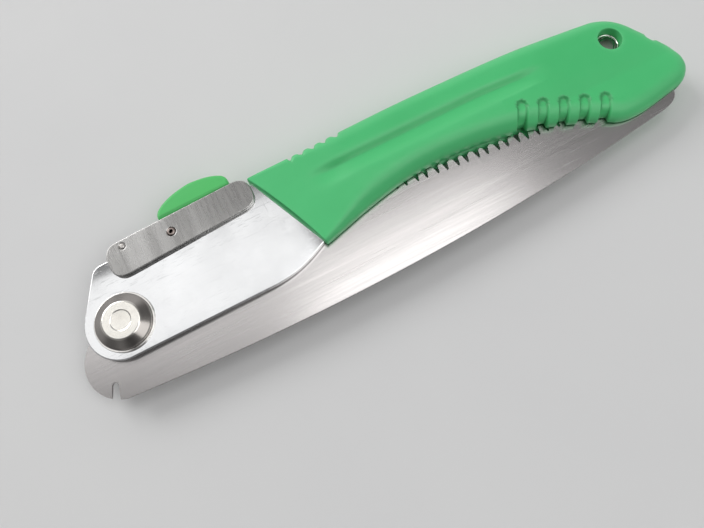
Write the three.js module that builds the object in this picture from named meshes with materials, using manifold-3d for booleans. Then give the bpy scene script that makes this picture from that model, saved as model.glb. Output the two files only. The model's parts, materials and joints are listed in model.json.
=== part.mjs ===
// Folding pruning saw, drawn folded and lying on its lower grip shell.
// Millimetres, +Z up. Everything is drawn about the blade's pivot axis, with z = 0 on the
// middle of the blade, +X along the folded saw and +Y towards its back. The last lines move
// it, so that the origin is the middle of its footprint, on the ground.

import * as THREE from "three";
import { mergeVertices } from "three/addons/utils/BufferGeometryUtils.js";
import Module from "manifold-3d";

const wasm = await Module();
wasm.setup();

// ---------------------------------------------------------------- driving dimensions

const BLADE_THICK = 1.3;
const PLATE_THICK = 2.0;
const PLATE_GAP = 2.5; // between the two frame plates, where the blade folds
const FLANGE_THICK = 1.6; // the lever's pressed channel
const FACE_GAP = 0.1; // air between flat faces that rest on each other
const HOLE_FIT = 0.15; // radial air round a pin in its hole
const OPEN_ANGLE = THREE.MathUtils.degToRad(171); // the blade's turn from folded to open

const GRIP_HALF = 9.5; // half of the grip's thickness over its belly
const GRIP_HALF_BUTT = 7.1; // the same at the butt
const GRIP_TAPER = [150, 234]; // x where the grip starts and stops getting thinner
const GRIP_ROUND = 6; // radius of the grip's long edges
const GRIP_WALL = 0.1; // each shell stops this far from the mid-plane
const GRIP_HALF_FRONT = 5.9; // half thickness at the front edge, where the plates go in
const GRIP_RAMP = 28; // length of the slope from there up to the full thickness

const TANG_CENTRE = [-6.3, -11.4]; // the round heel of the blade
const TANG_RADIUS = 14;
const NOTCH_AXIS = THREE.MathUtils.degToRad(-107.8); // from the lock notch's root to its mouth
const NOTCH_ROOT = [-12.1, -18.95];
const NOTCH_WIDTH = [2.5, 3.2]; // at the root and at the mouth

const TOOTH_PITCH = 4.2;
const TOOTH_HEIGHT = 4.4;
const TOOTH_SLOPE = -0.098; // the tooth line drops towards the tip
const TOOTH_LINE_Y = 15.77; // height of the tooth tips, carried back to x = 0
const TEETH_FROM = 33;
const TEETH_TO = 221;

const LEVER_PIVOT = [28.3, 23.3];
const LOCK_PIN_SEAT = [9.47, 23.68]; // the lock pin's place when it is in the notch
const LEVER_LIFT = THREE.MathUtils.degToRad(-9); // the lever's turn from locked to as drawn

const HANG_HOLE = [212.5, 14.6];
const HANG_HOLE_RADIUS = 4.75;

const RIVETS = { front: [84, 20.5], middle: [122, 22], rear: [166, 20.5] };
const SCREWS = { front: [102, 17.5], middle: [145, 17.5], rear: [196, 14] };

// The middle of the footprint, seen from the pivot.
const FOOTPRINT_CENTRE = [107.5, 5.053];

// Heights above the blade's mid-plane, outwards from the blade.
const BLADE_Z = BLADE_THICK / 2;
const PLATE_Z = [PLATE_GAP / 2, PLATE_GAP / 2 + PLATE_THICK];
const FLANGE_Z = [PLATE_Z[1] + 0.2, PLATE_Z[1] + 0.2 + FLANGE_THICK];
const WASHER_Z = [PLATE_Z[1] + FACE_GAP, PLATE_Z[1] + FACE_GAP + 0.7];
const HEAD_Z = WASHER_Z[1] + FACE_GAP;

const PIVOT_RADIUS = 4;
const BUSH_RADIUS = 5.1;

// ---------------------------------------------------------------- finishes

const finish = (color, roughness, metalness) =>
  new THREE.MeshStandardMaterial({ color, roughness, metalness });

const GREEN_GRIP = finish(0x46b96c, 0.42, 0);
const GREEN_PAD = finish(0x4cc063, 0.38, 0);
const BLADE_STEEL = finish(0xcfcbc8, 0.3, 1);
const PLATE_CHROME = finish(0xe2e3e3, 0.12, 1);
const BOLT_CHROME = finish(0xe6e2da, 0.1, 1);
const LEVER_ZINC = finish(0xa9a7a5, 0.35, 1);
const PIN_STEEL = finish(0x8f8b87, 0.35, 1);
const BRASS = finish(0xb08d4f, 0.35, 1);
const SPRING_STEEL = finish(0x6d6f72, 0.4, 1);

// ---------------------------------------------------------------- solids and outlines

// A closed geometry as a solid that can be joined and cut.
function solid(geometry) {
  const bare = geometry.clone();
  bare.deleteAttribute("normal");
  bare.deleteAttribute("uv");
  const merged = mergeVertices(bare, 1e-4);
  return new wasm.Manifold(
    new wasm.Mesh({
      numProp: 3,
      vertProperties: new Float32Array(merged.attributes.position.array),
      triVerts: new Uint32Array(merged.index.array),
    }),
  );
}

function geometryOf(manifold) {
  const made = manifold.getMesh();
  const places = new Float32Array(made.numVert * 3);
  for (let i = 0; i < made.numVert; i++) {
    places.set(made.vertProperties.subarray(i * made.numProp, i * made.numProp + 3), i * 3);
  }
  const geometry = new THREE.BufferGeometry();
  geometry.setAttribute("position", new THREE.BufferAttribute(places, 3));
  geometry.setIndex(new THREE.BufferAttribute(new Uint32Array(made.triVerts), 1));
  const faceted = geometry.toNonIndexed();
  faceted.computeVertexNormals();
  return faceted;
}

function cut(base, tools) {
  return tools.reduce((left, tool) => left.subtract(solid(tool)), base);
}

function join(base, pieces) {
  return pieces.reduce((whole, piece) => whole.add(solid(piece)), base);
}

const vectors = (places) => places.map(([x, y]) => new THREE.Vector2(x, y));

// A straight block of an outline, from one height to another, with its edges broken by bevel.
function slab(shape, bottom, top, bevel = 0, curveSegments = 10) {
  const geometry = new THREE.ExtrudeGeometry(shape, {
    depth: top - bottom - 2 * bevel,
    curveSegments,
    bevelEnabled: bevel > 0,
    bevelThickness: bevel,
    bevelSize: bevel,
    bevelOffset: -bevel,
    bevelSegments: 1,
  });
  return geometry.translate(0, 0, bottom + bevel);
}

// A closed outline whose corners, each [x, y, radius], are rounded.
function roundedOutline(corners) {
  const shape = new THREE.Shape();
  const count = corners.length;
  corners.forEach(([x, y, radius], i) => {
    const corner = new THREE.Vector2(x, y);
    const before = new THREE.Vector2(...corners[(i + count - 1) % count]).sub(corner);
    const after = new THREE.Vector2(...corners[(i + 1) % count]).sub(corner);
    const halfAngle = Math.abs(Math.atan2(before.cross(after), before.dot(after))) / 2;
    const reach = radius / Math.tan(halfAngle);
    const start = before.setLength(reach).add(corner);
    const end = after.setLength(reach).add(corner);
    if (i === 0) shape.moveTo(start.x, start.y);
    else shape.lineTo(start.x, start.y);
    shape.quadraticCurveTo(x, y, end.x, end.y);
  });
  shape.closePath();
  return shape;
}

function disc(x, y, radius) {
  const shape = new THREE.Shape();
  shape.absarc(x, y, radius, 0, 2 * Math.PI);
  return shape;
}

function ringShape(outer, inner) {
  const shape = disc(0, 0, outer);
  shape.holes.push(disc(0, 0, inner));
  return shape;
}

function regularPolygon(sides, acrossFlats) {
  const radius = acrossFlats / 2 / Math.cos(Math.PI / sides);
  const corners = Array.from({ length: sides }, (_, i) => {
    const angle = (2 * Math.PI * i) / sides;
    return new THREE.Vector2(radius * Math.cos(angle), radius * Math.sin(angle));
  });
  return new THREE.Shape(corners);
}

// A round rod along Z.
function rod([x, y], radius, bottom, top, sides = 20) {
  const geometry = new THREE.CylinderGeometry(radius, radius, top - bottom, sides);
  return geometry.rotateX(Math.PI / 2).translate(x, y, (bottom + top) / 2);
}

// A turned piece about Z: its profile lists [radius, height] from the axis and back to it.
function turned(profile, [x, y] = [0, 0], sides = 32) {
  const points = profile.map(([radius, height]) => new THREE.Vector2(radius, height));
  return new THREE.LatheGeometry(points, sides).rotateX(Math.PI / 2).translate(x, y, 0);
}

const turnAbout = ([px, py], [x, y], angle) => {
  const moved = new THREE.Vector2(x, y).rotateAround(new THREE.Vector2(px, py), angle);
  return [moved.x, moved.y];
};

const saw = new THREE.Group();

function place(name, shapeOrSolid, material, mirrored = false) {
  const geometry = shapeOrSolid.isBufferGeometry ? shapeOrSolid : geometryOf(shapeOrSolid);
  const mesh = new THREE.Mesh(geometry, material);
  mesh.name = name;
  if (mirrored) mesh.scale.z = -1;
  saw.add(mesh);
}

// ---------------------------------------------------------------- blade

const toothTipY = (x) => TOOTH_LINE_Y + TOOTH_SLOPE * x;

// One tooth, walked from its tip-side root to its tang-side root: steep flanks, and a
// shorter facet over the top. Every second tooth is a little wider.
function toothPoints(x, pitch) {
  const root = (at) => toothTipY(at) - TOOTH_HEIGHT;
  return [
    [x, root(x)],
    [x - 0.18 * pitch, root(x) + 0.74 * TOOTH_HEIGHT],
    [x - 0.5 * pitch, toothTipY(x)],
    [x - 0.82 * pitch, root(x) + 0.74 * TOOTH_HEIGHT],
  ];
}

function bladeOutline() {
  const shape = new THREE.Shape();
  const [cx, cy] = TANG_CENTRE;
  const heelFrom = THREE.MathUtils.degToRad(118);
  const heelTo = THREE.MathUtils.degToRad(256);
  shape.moveTo(cx + TANG_RADIUS * Math.cos(heelTo), cy + TANG_RADIUS * Math.sin(heelTo));
  shape.quadraticCurveTo(104.2, -34.5, 217.5, -19);
  shape.quadraticCurveTo(225.6, -17.9, 226.1, -12.6);
  shape.lineTo(225.4, toothTipY(TEETH_TO) - TOOTH_HEIGHT);
  let x = TEETH_TO;
  for (let i = 0; x > TEETH_FROM; i++) {
    const pitch = TOOTH_PITCH * (i % 2 ? 0.88 : 1.12);
    toothPoints(x, pitch).forEach(([px, py]) => shape.lineTo(px, py));
    x -= pitch;
  }
  shape.lineTo(x, toothTipY(x) - TOOTH_HEIGHT);
  shape.quadraticCurveTo(27, 4.5, 22, 4.4);
  shape.lineTo(17, 4.4);
  shape.quadraticCurveTo(13, 4.8, 10.2, 7.2);
  shape.absarc(0, 0, 12.5, 0.6, THREE.MathUtils.degToRad(174), false);
  shape.absarc(cx, cy, TANG_RADIUS, heelFrom, heelTo, false);
  return shape;
}

// The lock notch, a slot that widens towards its mouth on the rim of the heel.
function notchTool() {
  const [root, mouth] = NOTCH_WIDTH;
  const length = 9;
  const shape = new THREE.Shape();
  shape.absarc(0, 0, root / 2, Math.PI / 2, (3 * Math.PI) / 2, false);
  const growth = (mouth - root) / 2 / 4.7;
  shape.lineTo(length, -root / 2 - growth * length);
  shape.lineTo(length, root / 2 + growth * length);
  const geometry = slab(shape, -BLADE_THICK, BLADE_THICK);
  return geometry.rotateZ(NOTCH_AXIS).translate(...NOTCH_ROOT, 0);
}

function blade() {
  const body = solid(slab(bladeOutline(), -BLADE_Z, BLADE_Z));
  const pivotHole = rod([0, 0], BUSH_RADIUS + HOLE_FIT, -BLADE_THICK, BLADE_THICK, 40);
  return cut(body, [notchTool(), pivotHole]);
}

// ---------------------------------------------------------------- frame plates

// The stop pin sits where the heel of the open blade comes to rest. Its ends are blind.
const STOP_PIN_RADIUS = 2;
const STOP_PIN_END = 2.6;
const STOP_PIN = (() => {
  const [cx, cy] = turnAbout([0, 0], TANG_CENTRE, -OPEN_ANGLE);
  const reach = TANG_RADIUS + STOP_PIN_RADIUS + 0.2;
  const angle = THREE.MathUtils.degToRad(-20);
  return [cx + reach * Math.cos(angle), cy + reach * Math.sin(angle)];
})();

const plateHoles = () => [
  rod([0, 0], PIVOT_RADIUS + HOLE_FIT, 0, 5, 40),
  rod(LEVER_PIVOT, 1.5 + HOLE_FIT, 0, 5),
  rod(STOP_PIN, 1.5 + HOLE_FIT, 0, STOP_PIN_END + FACE_GAP),
  ...Object.values(RIVETS).map((at) => rod(at, 2.5 + HOLE_FIT, 0, 5)),
  rod(SCREWS.front, 1.6 + HOLE_FIT, 0, 5),
  rod(SCREWS.middle, 1.6 + HOLE_FIT, 0, 5),
];

// Nose, sloping bow, back edge under the lever, then the tail that the grip shells hold.
function plateOutline() {
  const noseCentre = [-1.1, 0.6];
  const noseRadius = 13.8;
  const shape = new THREE.Shape();
  shape.moveTo(noseCentre[0], noseCentre[1] - noseRadius);
  shape.lineTo(52, -13.1);
  shape.bezierCurveTo(66, -12.9, 72, -8.6, 80, -5);
  shape.splineThru(vectors([[90, -0.8], [102, 2.7], [124, 5.3], [146, 5], [164, 3.4]]));
  shape.lineTo(174, 3);
  shape.quadraticCurveTo(178, 3, 178, 7);
  shape.lineTo(178, 22);
  shape.quadraticCurveTo(178, 25.6, 174, 25.8);
  shape.quadraticCurveTo(118, 28.4, 60, 27.2);
  shape.lineTo(28, 27.2);
  shape.quadraticCurveTo(25, 27.2, 22, 26.4);
  shape.lineTo(12.5, 24.8);
  shape.lineTo(-0.4, 24.5);
  shape.quadraticCurveTo(-3.6, 24.4, -5, 21.9);
  const bow = THREE.MathUtils.degToRad(151.4);
  shape.absarc(...noseCentre, noseRadius, bow, THREE.MathUtils.degToRad(270), false);
  return shape;
}

// An open slot in the back edge, along the lock pin's path down to its seat.
function lockPinSlot() {
  const shape = new THREE.Shape();
  shape.absarc(0, 0, 1.6, Math.PI / 2, (3 * Math.PI) / 2, false);
  shape.lineTo(8, -1.6);
  shape.lineTo(8, 1.6);
  const geometry = slab(shape, 0, 5);
  return geometry.rotateZ(THREE.MathUtils.degToRad(84)).translate(...LOCK_PIN_SEAT, 0);
}

function framePlate() {
  const body = solid(slab(plateOutline(), ...PLATE_Z, 0.4, 8));
  return cut(body, [lockPinSlot(), ...plateHoles()]);
}

// A stepped pin: its thick middle fills the gap between the plates.
function stopPin() {
  const middle = PLATE_Z[0] - FACE_GAP;
  const profile = [
    [0, -STOP_PIN_END],
    [1.5, -STOP_PIN_END],
    [1.5, -middle],
    [STOP_PIN_RADIUS, -middle],
    [STOP_PIN_RADIUS, middle],
    [1.5, middle],
    [1.5, STOP_PIN_END],
    [0, STOP_PIN_END],
  ];
  return turned(profile, STOP_PIN, 20);
}

// The filler that keeps the plates apart along the back of the grip.
function frameSpacer() {
  const half = PLATE_Z[0] - FACE_GAP;
  const outline = roundedOutline([
    [50, 19.5, 1.5],
    [72, 15, 15],
    [176, 13.5, 2],
    [176, 24.6, 2],
    [120, 26.1, 300],
    [68, 25.6, 20],
    [60, 24.2, 20],
    [50, 24.2, 1.5],
  ]);
  const holes = Object.values(RIVETS).map((at) => rod(at, 2.5 + HOLE_FIT, -3, 3));
  const screwHoles = [SCREWS.front, SCREWS.middle].map((at) => rod(at, 1.6 + HOLE_FIT, -3, 3));
  return cut(solid(slab(outline, -half, half)), [...holes, ...screwHoles]);
}

// A rivet with a low domed head on each plate.
function frameRivet(at) {
  const seat = PLATE_Z[1] + FACE_GAP;
  const profile = [
    [0, -seat - 1.5],
    [2.4, -seat - 1.2],
    [4, -seat],
    [2.5, -seat],
    [2.5, seat],
    [4, seat],
    [2.4, seat + 1.2],
    [0, seat + 1.5],
  ];
  return turned(profile, at, 20);
}

// ---------------------------------------------------------------- pivot

// Bolt with a wide bevelled head and a shallow ring turned in its flat top.
function pivotBolt() {
  const top = HEAD_Z + 3.15;
  return turned([
    [0, -8.6],
    [PIVOT_RADIUS - 0.5, -8.6],
    [PIVOT_RADIUS, -8.1],
    [PIVOT_RADIUS, HEAD_Z],
    [9.9, HEAD_Z],
    [10.4, HEAD_Z + 0.35],
    [10.4, HEAD_Z + 0.75],
    [10, HEAD_Z + 1.1],
    [6.1, top],
    [3.9, top],
    [3.6, top - 0.15],
    [0, top - 0.15],
  ], [0, 0], 40);
}

function pivotNut() {
  const hexagon = slab(regularPolygon(6, 13), -HEAD_Z - 4.4, -HEAD_Z);
  const chamfer = turned([
    [0, -HEAD_Z - 4.4],
    [6.4, -HEAD_Z - 4.4],
    [7.6, -HEAD_Z - 3.7],
    [7.6, -HEAD_Z],
    [0, -HEAD_Z],
  ]);
  const hole = rod([0, 0], PIVOT_RADIUS + HOLE_FIT, -HEAD_Z - 6, 0, 40);
  return cut(solid(hexagon).intersect(solid(chamfer)), [hole]);
}

const washer = (outer, bottom, top, inner) => slab(ringShape(outer, inner), bottom, top, 0, 18);

// ---------------------------------------------------------------- lock lever

const LEVER_FRONT = 2.6;
const LEVER_REAR = 61.9;
const leverBackY = (x) => 29.0 + ((x - LEVER_FRONT) * 1.9) / (LEVER_REAR - LEVER_FRONT);

const flangeOutline = () =>
  roundedOutline([
    [LEVER_FRONT, 15, 6],
    [LEVER_REAR, 18.6, 6.1],
    [LEVER_REAR, leverBackY(LEVER_REAR), 6.1],
    [LEVER_FRONT, leverBackY(LEVER_FRONT), 6],
  ]);

// The strip of the channel that bridges the flanges, from one x to another.
function webOutline(from, to, drop) {
  return new THREE.Shape(vectors([
    [from, leverBackY(from) - drop],
    [to, leverBackY(to) - drop],
    [to, leverBackY(to)],
    [from, leverBackY(from)],
  ]));
}

const LOCK_PIN = turnAbout(LEVER_PIVOT, LOCK_PIN_SEAT, LEVER_LIFT);
const LOCK_PIN_RADIUS = 1.1;
const PAD_PEGS = [33.5, 47.5];
const PEG_RADIUS = 1.6;

// A short rod square to the lever's back, for the pad's pegs and their holes.
function pegRod(x, radius, below, above) {
  const geometry = new THREE.CylinderGeometry(radius, radius, above + below, 16);
  return geometry.translate(x, leverBackY(x) + (above - below) / 2, 0);
}

function leverChannel() {
  const [inner, outer] = FLANGE_Z;
  const upper = slab(flangeOutline(), inner, outer, 0.3);
  const lower = slab(flangeOutline(), -outer, -inner, 0.3);
  const web = slab(webOutline(14, 55.5, FLANGE_THICK), -outer + 0.3, outer - 0.3);
  const holes = [
    rod(LEVER_PIVOT, 1.5 + HOLE_FIT, -9, 9),
    rod(LOCK_PIN, LOCK_PIN_RADIUS + HOLE_FIT, -9, 9),
    ...PAD_PEGS.map((x) => pegRod(x, PEG_RADIUS + HOLE_FIT, 4, 4)),
  ];
  return cut(join(solid(upper), [lower, web]), holes);
}

// Moulded pad: flat underneath, humped along its back, held by two pegs through the web.
function thumbPad() {
  const foot = (x) => leverBackY(x) + FACE_GAP;
  const shape = new THREE.Shape();
  shape.moveTo(26.2, foot(26.2));
  shape.lineTo(54.6, foot(54.6));
  shape.quadraticCurveTo(56.2, 33.6, 53.8, 35.7);
  shape.quadraticCurveTo(49.5, 38.5, 41, 38.7);
  shape.quadraticCurveTo(31, 37.6, 26.6, 33.6);
  shape.quadraticCurveTo(25.3, 32, 25.6, foot(25.6) + 0.4);
  const half = FLANGE_Z[1] - 0.35;
  const hump = slab(shape, -half, half, 0.8, 8);
  const pegs = PAD_PEGS.map((x) => pegRod(x, PEG_RADIUS, 1.8, 1));
  return join(solid(hump), pegs);
}

// The lever's pivot: a rolled pin, open down its middle.
function leverPivotPin() {
  const end = FLANGE_Z[1] + 0.3;
  const body = solid(rod(LEVER_PIVOT, 1.5, -end, end));
  return cut(body, [rod(LEVER_PIVOT, 0.75, -end - 1, end + 1, 16)]);
}

const lockPin = () => rod(LOCK_PIN, LOCK_PIN_RADIUS, -FLANGE_Z[1] - 0.2, FLANGE_Z[1] + 0.2, 24);

// Torsion spring between the plates: a turn and a half round the pivot pin. One leg lies
// under the lever's back, the other on the nose of the frame spacer.
function leverSpring() {
  const turns = 1.5;
  const coilRadius = 2.9;
  const coilPitch = 0.9;
  const steps = 18;
  const [px, py] = LEVER_PIVOT;
  const points = [new THREE.Vector3(45, 27.3, -0.675), new THREE.Vector3(36, 26.9, -0.675)];
  for (let i = 0; i <= steps; i++) {
    const done = (turns * i) / steps;
    const angle = Math.PI / 2 + 2 * Math.PI * done;
    const [x, y] = [px + coilRadius * Math.cos(angle), py + coilRadius * Math.sin(angle)];
    points.push(new THREE.Vector3(x, y, coilPitch * (done - turns / 2)));
  }
  points.push(new THREE.Vector3(36, 21.5, 0.675), new THREE.Vector3(46, 23.6, 0.675));
  points.push(new THREE.Vector3(52.5, 24.7, 0.675));
  const path = new THREE.CatmullRomCurve3(points);
  return new THREE.ExtrudeGeometry(disc(0, 0, 0.35), { steps: 44, curveSegments: 3, extrudePath: path });
}

// ---------------------------------------------------------------- grip shells

const gripHalf = (x) =>
  GRIP_HALF - (GRIP_HALF - GRIP_HALF_BUTT) * THREE.MathUtils.smoothstep(x, ...GRIP_TAPER);

// The two ends of the sloping front edge, and the height of the face behind it.
const FRONT_EDGE = [[63.6, 26.2], [76.9, -4.8]];
const frontRun = new THREE.Vector2().subVectors(...vectors(FRONT_EDGE).reverse()).normalize();
const behindFront = (x, y) =>
  (y - FRONT_EDGE[0][1]) * frontRun.x - (x - FRONT_EDGE[0][0]) * frontRun.y;
const faceHeight = (x, y) => {
  const slope = (GRIP_HALF - GRIP_HALF_FRONT) / GRIP_RAMP;
  return Math.min(gripHalf(x), GRIP_HALF_FRONT + slope * behindFront(x, y));
};

// The grip's plan, from the front of its back edge round the butt to its front-lower corner.
const BACK_EDGE = [
  [62, 29.5], [79, 29.6], [102, 30.2], [126, 30.5], [151, 30.1], [176, 29.5], [192, 28.4],
  [206.9, 27.1],
];
const BUTT_EDGE = [
  [213.2, 26.1], [219, 23.2], [223.2, 19.4], [226.4, 15.3], [229.3, 11.2], [231.7, 7.2],
  [233.4, 3.4], [234.6, -0.4], [235, -4], [234.4, -7.4], [232.6, -10.2], [229.4, -12.6],
];
const TIP_EDGE = [[223.5, -13.9], [217, -15.1], [209.5, -16.2], [203, -16.3], [198.5, -15.3]];
const FINGER_EDGE = [
  [195.2, -13.5], [189.5, -10.8], [182.5, -7.8], [175, -5], [167.5, -2.5], [160, -0.8],
  [150, 0.9], [140, 1.9], [129, 2.3], [118, 1.7], [108, 0.1], [96, -2.6], [86, -5.3],
  [78, -7.4], [66, -9.8], [54, -10.5],
];

// The plan of the grip, anticlockwise. It runs on past the front, where the front edge is cut.
function gripOutline() {
  const sides = [...BACK_EDGE, ...BUTT_EDGE, ...TIP_EDGE, ...FINGER_EDGE];
  const curve = new THREE.SplineCurve(vectors(sides));
  const front = vectors([[46, -2], [44, 10], [46, 22], [54, 29]]);
  return [...curve.getPoints((sides.length - 1) * 2), ...front].reverse();
}

// Everything in front of the sloping front edge, with its two rounded corners.
function frontTool() {
  const shape = new THREE.Shape();
  shape.moveTo(40, 34);
  shape.lineTo(40, -20);
  shape.lineTo(81.2, -20);
  shape.lineTo(81.2, -6.7);
  shape.quadraticCurveTo(77.9, -7.4, 76.9, -4.8);
  shape.quadraticCurveTo(70.6, 13, 63.6, 26.2);
  shape.quadraticCurveTo(62.8, 29.4, 65.2, 29.6);
  shape.lineTo(65.2, 34);
  return slab(shape, -2, 12);
}

// Everything above the slope that thins the shell towards its front edge.
function frontRampTool() {
  const block = new THREE.BoxGeometry(140, 140, 20);
  const axis = new THREE.Vector3(frontRun.x, frontRun.y, 0);
  const angle = Math.atan2(GRIP_HALF - GRIP_HALF_FRONT, GRIP_RAMP);
  block.translate(0, 0, 10);
  block.applyMatrix4(new THREE.Matrix4().makeRotationAxis(axis, angle));
  block.translate(...FRONT_EDGE[0], GRIP_HALF_FRONT);
  return block;
}

// A shallow step in the butt's outline, above its round end.
function buttStepTool() {
  const corners = [[225.8, 16.3], [229.2, 8.6], [232.2, 6.3], [238, 10], [234, 20]];
  return slab(new THREE.Shape(vectors(corners)), -1, 12);
}

// Half of a level rounded bar: upright walls on the outline, then an edge rolling over to a
// flat face.
function roundedHalf(outline, bottom) {
  const count = outline.length;
  const rollSteps = 4;
  const inward = outline.map((_, i) => {
    const along = outline[(i + 1) % count].clone().sub(outline[(i + count - 1) % count]);
    return new THREE.Vector2(-along.y, along.x).normalize();
  });
  const places = [];
  const addRing = (inset, height) =>
    outline.forEach((point, i) => {
      places.push(point.x + inward[i].x * inset, point.y + inward[i].y * inset, height);
    });
  addRing(0, bottom);
  for (let step = 0; step <= rollSteps; step++) {
    const angle = (Math.PI / 2) * (step / rollSteps);
    const inset = GRIP_ROUND * (1 - Math.cos(angle));
    addRing(inset, GRIP_HALF - GRIP_ROUND * (1 - Math.sin(angle)));
  }
  const faces = [];
  for (let ring = 0; ring <= rollSteps; ring++) {
    for (let i = 0; i < count; i++) {
      const a = ring * count + i;
      const b = ring * count + ((i + 1) % count);
      faces.push(a, b, b + count, a, b + count, a + count);
    }
  }
  const last = (rollSteps + 1) * count;
  const rim = outline.map((_, i) => {
    const from = 3 * (last + i);
    return new THREE.Vector2(places[from], places[from + 1]);
  });
  THREE.ShapeUtils.triangulateShape(outline, []).forEach(([a, b, c]) => faces.push(c, b, a));
  THREE.ShapeUtils.triangulateShape(rim, []).forEach(([a, b, c]) => {
    faces.push(a + last, b + last, c + last);
  });
  const geometry = new THREE.BufferGeometry();
  geometry.setAttribute("position", new THREE.Float32BufferAttribute(places, 3));
  geometry.setIndex(faces);
  return geometry;
}

// The shell before it is cut: level over the belly, and thinner towards the butt.
function gripBlank() {
  const level = solid(roundedHalf(gripOutline(), GRIP_WALL)).refineToLength(12);
  return level.warp((place) => {
    if (place[2] > GRIP_WALL + 0.01) place[2] -= GRIP_HALF - gripHalf(place[0]);
  });
}

// Everything above a scalloped line along the back: it leaves four round ribs.
function ribTool() {
  const ribs = 4;
  const pitch = 4.9;
  const from = 79.6;
  const valley = 27.5;
  const shape = new THREE.Shape();
  shape.moveTo(from - 1.2, 31);
  shape.lineTo(from, valley);
  for (let i = 0; i < ribs; i++) {
    const x = from + i * pitch;
    shape.bezierCurveTo(x + 0.4, 30.1, x + pitch - 0.4, 30.1, x + pitch, valley);
  }
  shape.lineTo(from + ribs * pitch + 1.6, 31);
  return slab(shape, -1, 12, 0, 6);
}

// A long shallow groove on the face: a short slope on the side of the back, a longer one
// below. The tool rises out of the face towards both of its ends.
function faceGrooveTool() {
  const above = GRIP_HALF + 2;
  const stations = [[82, 0.4], [92, -0.85], [172, -0.85], [183, 0.4]];
  const section = [[20.2, 0.1], [16.6, 1], [13.4, 0.65], [10.6, 0]];
  const places = stations.flatMap(([x, sink]) => [
    [x, section[0][0], above],
    ...section.map(([y, share]) => [x, y, faceHeight(x, y) + 0.1 + (sink - 0.1) * share]),
    [x, section.at(-1)[0], above],
  ]);
  const count = section.length + 2;
  const faces = [];
  for (let k = 1; k < count - 1; k++) {
    const last = places.length - count;
    faces.push([0, k, k + 1], [last, last + k + 1, last + k]);
  }
  for (let station = 0; station < stations.length - 1; station++) {
    for (let k = 0; k < count; k++) {
      const a = count * station + k;
      const b = count * station + ((k + 1) % count);
      faces.push([a, a + count, b + count], [a, b + count, b]);
    }
  }
  const geometry = new THREE.BufferGeometry();
  geometry.setAttribute("position", new THREE.Float32BufferAttribute(places.flat(), 3));
  geometry.setIndex(faces.flat());
  return geometry;
}

// Finger grooves: each is a round channel that climbs the finger side and dies out on the face.
function fingerGrooveTools() {
  return Array.from({ length: 5 }, (_, i) => {
    const lip = new THREE.Vector2(164.1, -0.9).lerp(new THREE.Vector2(193.7, -11.9), i / 4);
    const angle = THREE.MathUtils.degToRad(66 - 1.6 * i);
    const along = new THREE.Vector3(Math.cos(angle), Math.sin(angle), 0);
    const face = gripHalf(lip.x + 4);
    const at = (reach, z) => new THREE.Vector3(lip.x, lip.y, z).addScaledVector(along, reach);
    const path = new THREE.CatmullRomCurve3([
      at(-1, -2), at(-1, face - 6), at(-0.2, face - 3), at(2.2, face - 0.2), at(5, face + 0.9),
      at(7.4, face + 1.3), at(9, face + 3),
    ]);
    const round = disc(0, 0, 2);
    return new THREE.ExtrudeGeometry(round, { steps: 9, curveSegments: 4, extrudePath: path });
  });
}

// The pocket for a frame plate's tail and the rivet heads on it.
function platePocketTools() {
  const pocket = slab(grownPlateTail(), -2, PLATE_Z[1] + FACE_GAP);
  const rivetPockets = Object.values(RIVETS).map((at) => rod(at, 4.4, 0, PLATE_Z[1] + 2));
  return [pocket, ...rivetPockets];
}

// The tail's outline with a little air round it, from in front of the grip to its end.
const grownPlateTail = () => {
  const shape = new THREE.Shape();
  shape.moveTo(56, 27.6);
  shape.lineTo(56, -14.5);
  shape.bezierCurveTo(68, -13.2, 73, -9.2, 80.2, -5.6);
  shape.splineThru(vectors([[90.2, -1.3], [102.1, 2.25], [124, 4.85], [146, 4.55], [164, 2.95]]));
  shape.lineTo(174.2, 2.6);
  shape.quadraticCurveTo(178.4, 2.6, 178.4, 7);
  shape.lineTo(178.4, 22.2);
  shape.quadraticCurveTo(178.4, 26, 174.2, 26.2);
  shape.quadraticCurveTo(118, 28.8, 56, 27.6);
  return shape;
};

// The slot that the folded blade lies in, open along the finger side and closed at the butt.
function bladeSlotTool() {
  const clear = (x) => toothTipY(x) + 1.2;
  const shape = new THREE.Shape(
    vectors([[50, -40], [228.4, -40], [228.4, clear(228.4)], [50, clear(50)]]),
  );
  return slab(shape, -2, PLATE_Z[0]);
}

function gripShell(side) {
  const screwTools = Object.values(SCREWS).flatMap((at) =>
    side === "lower"
      ? [rod(at, 1.6 + HOLE_FIT, -1, 12), rod(at, 3.3, 5.8, 12)]
      : [rod(at, 1.5 + HOLE_FIT, -1, 7)],
  );
  return cut(gripBlank(), [
    frontTool(),
    ribTool(),
    frontRampTool(),
    buttStepTool(),
    faceGrooveTool(),
    ...fingerGrooveTools(),
    ...platePocketTools(),
    bladeSlotTool(),
    rod(HANG_HOLE, HANG_HOLE_RADIUS, -1, 12, 32),
    ...screwTools,
  ]);
}

// Steel eyelet in the hanging hole, sunk below both faces.
function hangHoleEyelet() {
  const outer = HANG_HOLE_RADIUS - FACE_GAP;
  const top = 4.1;
  const profile = [
    [3.75, -top + 0.5],
    [4.2, -top],
    [outer, -top + 0.4],
    [outer, top - 0.4],
    [4.2, top],
    [3.75, top - 0.5],
    [3.75, -top + 0.5],
  ];
  return turned(profile, HANG_HOLE, 32);
}

// Screws come up from the lower shell. Each ends inside the upper one.
function gripScrew(at) {
  const headTop = -5.9;
  return turned([
    [0, headTop - 1.9],
    [2.2, headTop - 1.9],
    [3, headTop - 1],
    [3, headTop],
    [1.5, headTop],
    [1.5, 6],
    [0.9, 6.8],
    [0, 6.8],
  ], at, 20);
}

// ---------------------------------------------------------------- the saw

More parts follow.
